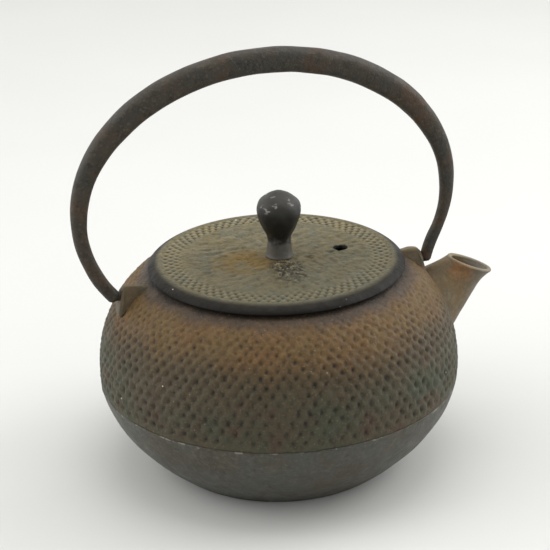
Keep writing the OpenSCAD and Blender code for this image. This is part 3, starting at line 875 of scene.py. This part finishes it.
def rivet(material):
    """The knob's rivet, headed over the washer under the lid."""
    x = (RIVET_LO.x + RIVET_HI.x) / 2
    head_r = (RIVET_HI.y - RIVET_LO.y) / 2
    shank_r = 2 * MM
    head_top = WASHER_LO.z
    dome = [(head_r * math.sin(t), head_top - (head_top - RIVET_LO.z) * math.cos(t))
            for t in np.radians([8, 25, 45, 65, 85])]
    outline = dome + [(head_r, head_top), (shank_r, head_top), (shank_r, RIVET_HI.z - 0.4 * MM),
                      (shank_r - 0.4 * MM, RIVET_HI.z)]
    piece = skin("rivet", turned(rounded(outline, 0.15 * MM), 40, (x, 0)))
    finished(piece, "lid", "rivet_steel", material, "knob_rivet")


def washer(material):
    """The washer under the rivet's head, with its corners broken."""
    x = (WASHER_LO.x + WASHER_HI.x) / 2
    r = (WASHER_HI.y - WASHER_LO.y) / 2
    low, high = WASHER_LO.z, WASHER_HI.z
    hole = 2 * MM
    outline = [(hole, low + 0.2 * MM), (hole + 0.2 * MM, low), (r - 0.3 * MM, low), (r, low + 0.2 * MM),
               (r, high - 0.2 * MM), (r - 0.2 * MM, high), (hole + 0.2 * MM, high), (hole, high - 0.2 * MM)]
    piece = skin("washer_ring", turned(outline, 64, (x, 0)), loop=True)
    finished(piece, "lid", "rivet_steel", material, "knob_washer")


# ---- Infuser basket ----

def basket_ring(name, outline, material, node):
    """A sheet steel ring of the basket, turned from a closed outline."""
    piece = skin(name, turned(rounded(outline + outline[:1], 0.12 * MM), 160), loop=True)
    finished(piece, "basket", "basket_steel", material, node)


def wires(name, paths, radius, closed, material, node):
    """Round wires of one radius along paths, as one mesh; closed says which paths are loops."""
    sides = 5
    turn = around(sides)
    build = bmesh.new()
    for path, loop in zip(paths, closed):
        path = np.array(path)
        way = unit(np.roll(path, -1, 0) - np.roll(path, 1, 0) if loop else np.gradient(path, axis=0))
        out = np.cross(way, [0, 0, 1]) + 1e-6 * np.cross(way, [1, 0, 0])
        flat = np.linalg.norm(np.cross(way, [0, 0, 1]), axis=1) < 0.3
        out[flat] = np.cross(way[flat], path[flat] * [1, 1, 0] + [1e-6, 0, 0])
        out = unit(out)
        up = np.cross(way, out)
        rings = path[:, None] + radius * (out[:, None] * np.cos(turn)[:, None]
                                          + up[:, None] * np.sin(turn)[:, None])
        rows = [[build.verts.new(p) for p in ring] for ring in rings]
        pairs = list(zip(rows, rows[1:] + rows[:1])) if loop else list(zip(rows, rows[1:]))
        for here, there in pairs:
            for k in range(sides):
                n = (k + 1) % sides
                build.faces.new((here[k], here[n], there[n], there[k]))
        if not loop:
            build.faces.new(rows[0][::-1])
            build.faces.new(rows[-1])
    mesh = bpy.data.meshes.new(name)
    build.to_mesh(mesh)
    build.free()
    mesh.polygons.foreach_set("use_smooth", [True] * len(mesh.polygons))
    piece = bpy.data.objects.new(name, mesh)
    bpy.context.scene.collection.objects.link(piece)
    finished(piece, "basket", "basket_steel", material, node)


def basket(material):
    """The infuser: a rim and a hoop of sheet steel, and a sleeve and a floor of woven wire."""
    sheet = 0.6 * MM
    sleeve_r = BASKET_MESH_HI.y
    ledge = BASKET_RIM_HI.z - sheet
    rim_r = BASKET_RIM_HI.y
    low, high = BASKET_MESH_LO.z, BASKET_MESH_HI.z
    basket_ring("basket_rim_ring", [(sleeve_r, BASKET_RIM_LO.z), (sleeve_r + sheet, BASKET_RIM_LO.z),
                                    (sleeve_r + sheet, ledge), (rim_r, ledge), (rim_r, ledge + sheet),
                                    (sleeve_r, ledge + sheet)], material, "basket_rim")
    outer = BASKET_HOOP_HI.y
    hoop_low, hoop_high = BASKET_HOOP_LO.z, BASKET_HOOP_HI.z
    basket_ring("basket_hoop_ring", [(outer - 3.5 * MM, hoop_low), (outer, hoop_low), (outer, hoop_high),
                                     (outer - sheet, hoop_high), (outer - sheet, hoop_low + sheet),
                                     (outer - 3.5 * MM, hoop_low + sheet)], material, "basket_hoop")
    wire = 0.17 * MM
    weave = 0.12 * MM
    middle = sleeve_r - 0.3 * MM
    uprights = 120
    rounds = 26
    paths, closed = [], []
    heights = np.linspace(low + 0.5 * MM, high - 0.5 * MM, rounds + 1)
    for k in range(uprights):
        turn = 2 * math.pi * k / uprights
        wave = weave * (-1.0) ** (np.arange(rounds + 1) + k)
        r = middle + wave
        paths.append(np.stack([r * math.cos(turn), r * math.sin(turn), heights], -1))
        closed.append(False)
    turns = around(uprights)
    for j, z in enumerate(heights):
        r = middle - weave * (-1.0) ** (np.arange(uprights) + j)
        paths.append(np.stack([r * np.cos(turns), r * np.sin(turns), z + 0 * turns], -1))
        closed.append(True)
    wires("basket_sleeve_wires", paths, wire, closed, material, "basket_mesh")
    floor_r = BASKET_FLOOR_HI.y - 0.2 * MM
    floor_z = (BASKET_FLOOR_LO.z + BASKET_FLOOR_HI.z) / 2
    step = 2.4 * MM
    count = int(floor_r / step)
    paths = []
    for k in range(-count, count + 1):
        reach = math.sqrt(floor_r ** 2 - (k * step) ** 2)
        ends = np.arange(-math.floor(reach / step), math.floor(reach / step) + 1) * step
        ends = np.concatenate([[-reach], ends, [reach]]) if reach - ends[-1] > 0.2 * MM else ends
        over = weave * (-1.0) ** (np.arange(len(ends)) + k)
        paths.append(np.stack([ends, k * step + 0 * ends, floor_z + over], -1))
        paths.append(np.stack([k * step + 0 * ends, ends, floor_z - over], -1))
    wires("basket_floor_wires", paths, wire, [False] * len(paths), material, "basket_floor")


# ---- Camera, lights and floor ----

CAMERA_TARGET = Vector((-0.6, 0.1, 79.3)) * MM
CAMERA_AZIMUTH = math.radians(-14.69)
CAMERA_ELEVATION = math.radians(22.97)
CAMERA_ROLL = math.radians(-1.51)
CAMERA_DISTANCE = 0.7
CAMERA_LENS = 111.4

# the way towards the camera and the way to its right, level with the floor
TOWARDS_CAMERA = (-0.25, -0.97, 0)
TO_THE_RIGHT = (0.97, -0.25, 0)

# name, place, size in metres and power in watts
LAMPS = [("overhead", (0.1, 0.15, 1.25), 0.9, 6),
         ("right", (0.8, 0.05, 0.6), 0.6, 3.4),
         ("left", (-0.75, 0.1, 0.65), 0.6, 2)]
FLOOR_RADII = (0.3, 1.2, 4.0)


def add_camera():
    """A long lens that looks slightly down on the pot."""
    level = math.cos(CAMERA_ELEVATION)
    back = Vector((math.sin(CAMERA_AZIMUTH) * level, -math.cos(CAMERA_AZIMUTH) * level,
                   math.sin(CAMERA_ELEVATION)))
    data = bpy.data.cameras.new("camera")
    data.sensor_width = 36
    data.lens = CAMERA_LENS
    data.clip_start = 0.01
    camera = bpy.data.objects.new("camera", data)
    bpy.context.scene.collection.objects.link(camera)
    roll = Quaternion((0, 0, 1), CAMERA_ROLL)
    camera.rotation_mode = "QUATERNION"
    camera.rotation_quaternion = (-back).to_track_quat("-Z", "Y") @ roll
    camera.location = CAMERA_TARGET + back * CAMERA_DISTANCE
    bpy.context.scene.camera = camera


def add_lamp(name, place, size, power):
    """A square area lamp that points at the pot."""
    data = bpy.data.lights.new(name, "AREA")
    data.size = size
    data.energy = power
    lamp = bpy.data.objects.new(name, data)
    lamp.location = place
    lamp.rotation_euler = (Vector((0, 0, 0.05)) - Vector(place)).to_track_quat("-Z", "Y").to_euler()
    bpy.context.scene.collection.objects.link(lamp)


def add_floor():
    """A wide pale disc under the pot."""
    turn = around(96)
    rings = np.stack([np.stack([r * np.cos(turn), r * np.sin(turn), 0 * turn], -1) for r in FLOOR_RADII])
    count, sides = rings.shape[:2]
    index = np.arange(count * sides).reshape(count, sides)
    quads = np.stack([index[:-1], index[1:], np.roll(index[1:], -1, 1), np.roll(index[:-1], -1, 1)], -1)
    faces = quads.reshape(-1, 4).tolist() + [index[0].tolist()]
    floor = mesh_object("floor", rings, faces)
    p = Paint("pale_floor", 0.1)
    base = p.mix(p.span(p.noise(0.2, 2), 0.3, 0.7), colour("#cfcfcd"), colour("#d1d1cf"))
    rough = p.span(p.noise(0.1, 2, shift=3), 0.2, 0.8, 0.75, 0.85)
    floor.data.materials.append(p.finish(base, rough))


def add_light():
    """A white studio: a sky brightest behind the pot and at its sides, and lamps over and beside it."""
    world = bpy.data.worlds.new("studio")
    bpy.context.scene.world = world
    world.use_nodes = True
    nodes, links = world.node_tree.nodes, world.node_tree.links
    sky = nodes["Background"]
    sky.inputs["Color"].default_value = (0.985, 0.99, 0.975, 1)
    direction = nodes.new("ShaderNodeTexCoord").outputs["Generated"]

    def maths(kind, operation, first, second):
        node = nodes.new(kind)
        node.operation = operation
        for socket, value in zip(node.inputs, (first, second)):
            if isinstance(value, bpy.types.NodeSocket):
                links.new(value, socket)
            else:
                socket.default_value = value
        return node.outputs["Value"]

    front = maths("ShaderNodeVectorMath", "DOT_PRODUCT", direction, TOWARDS_CAMERA)
    across = maths("ShaderNodeVectorMath", "DOT_PRODUCT", direction, TO_THE_RIGHT)
    behind = maths("ShaderNodeMath", "SUBTRACT", 1.9, front)
    back_light = maths("ShaderNodeMath", "MULTIPLY", behind, 0.31)
    beside = maths("ShaderNodeMath", "MULTIPLY", across, across)
    side_light = maths("ShaderNodeMath", "MULTIPLY", beside, 1.5)
    links.new(maths("ShaderNodeMath", "ADD", back_light, side_light), sky.inputs["Strength"])
    for lamp in LAMPS:
        add_lamp(*lamp)
    bpy.context.scene.view_settings.view_transform = "Standard"


add_camera()
add_light()
add_floor()
upper_shell(shell_iron())
lower_bowl(bowl_iron())
spout(spout_iron())
lug_material = lug_iron()
lug("lug_by_spout", FRONT_LUG_PROFILE, 1, FRONT_PIN_LO, FRONT_PIN_HI, lug_material, "front_lug")
lug("lug_at_back", REAR_LUG_PROFILE, -1, REAR_PIN_LO, REAR_PIN_HI, lug_material, "rear_lug")
bail_material = bail_iron()
bail(bail_material)
pin("pin_by_spout", FRONT_PIN_LO, FRONT_PIN_HI, bail_material, "front_pin")
pin("pin_at_back", REAR_PIN_LO + Vector((REAR_PIN_CUT, 0, 0)), REAR_PIN_HI, bail_material, "rear_pin")
lid(lid_iron())
knob(knob_iron())
rivet_material = steel("rivet_steel", "#6f6c66", 0.35)
rivet(rivet_material)
washer(rivet_material)
basket(steel("basket_steel", "#b4b5b6", 0.22))
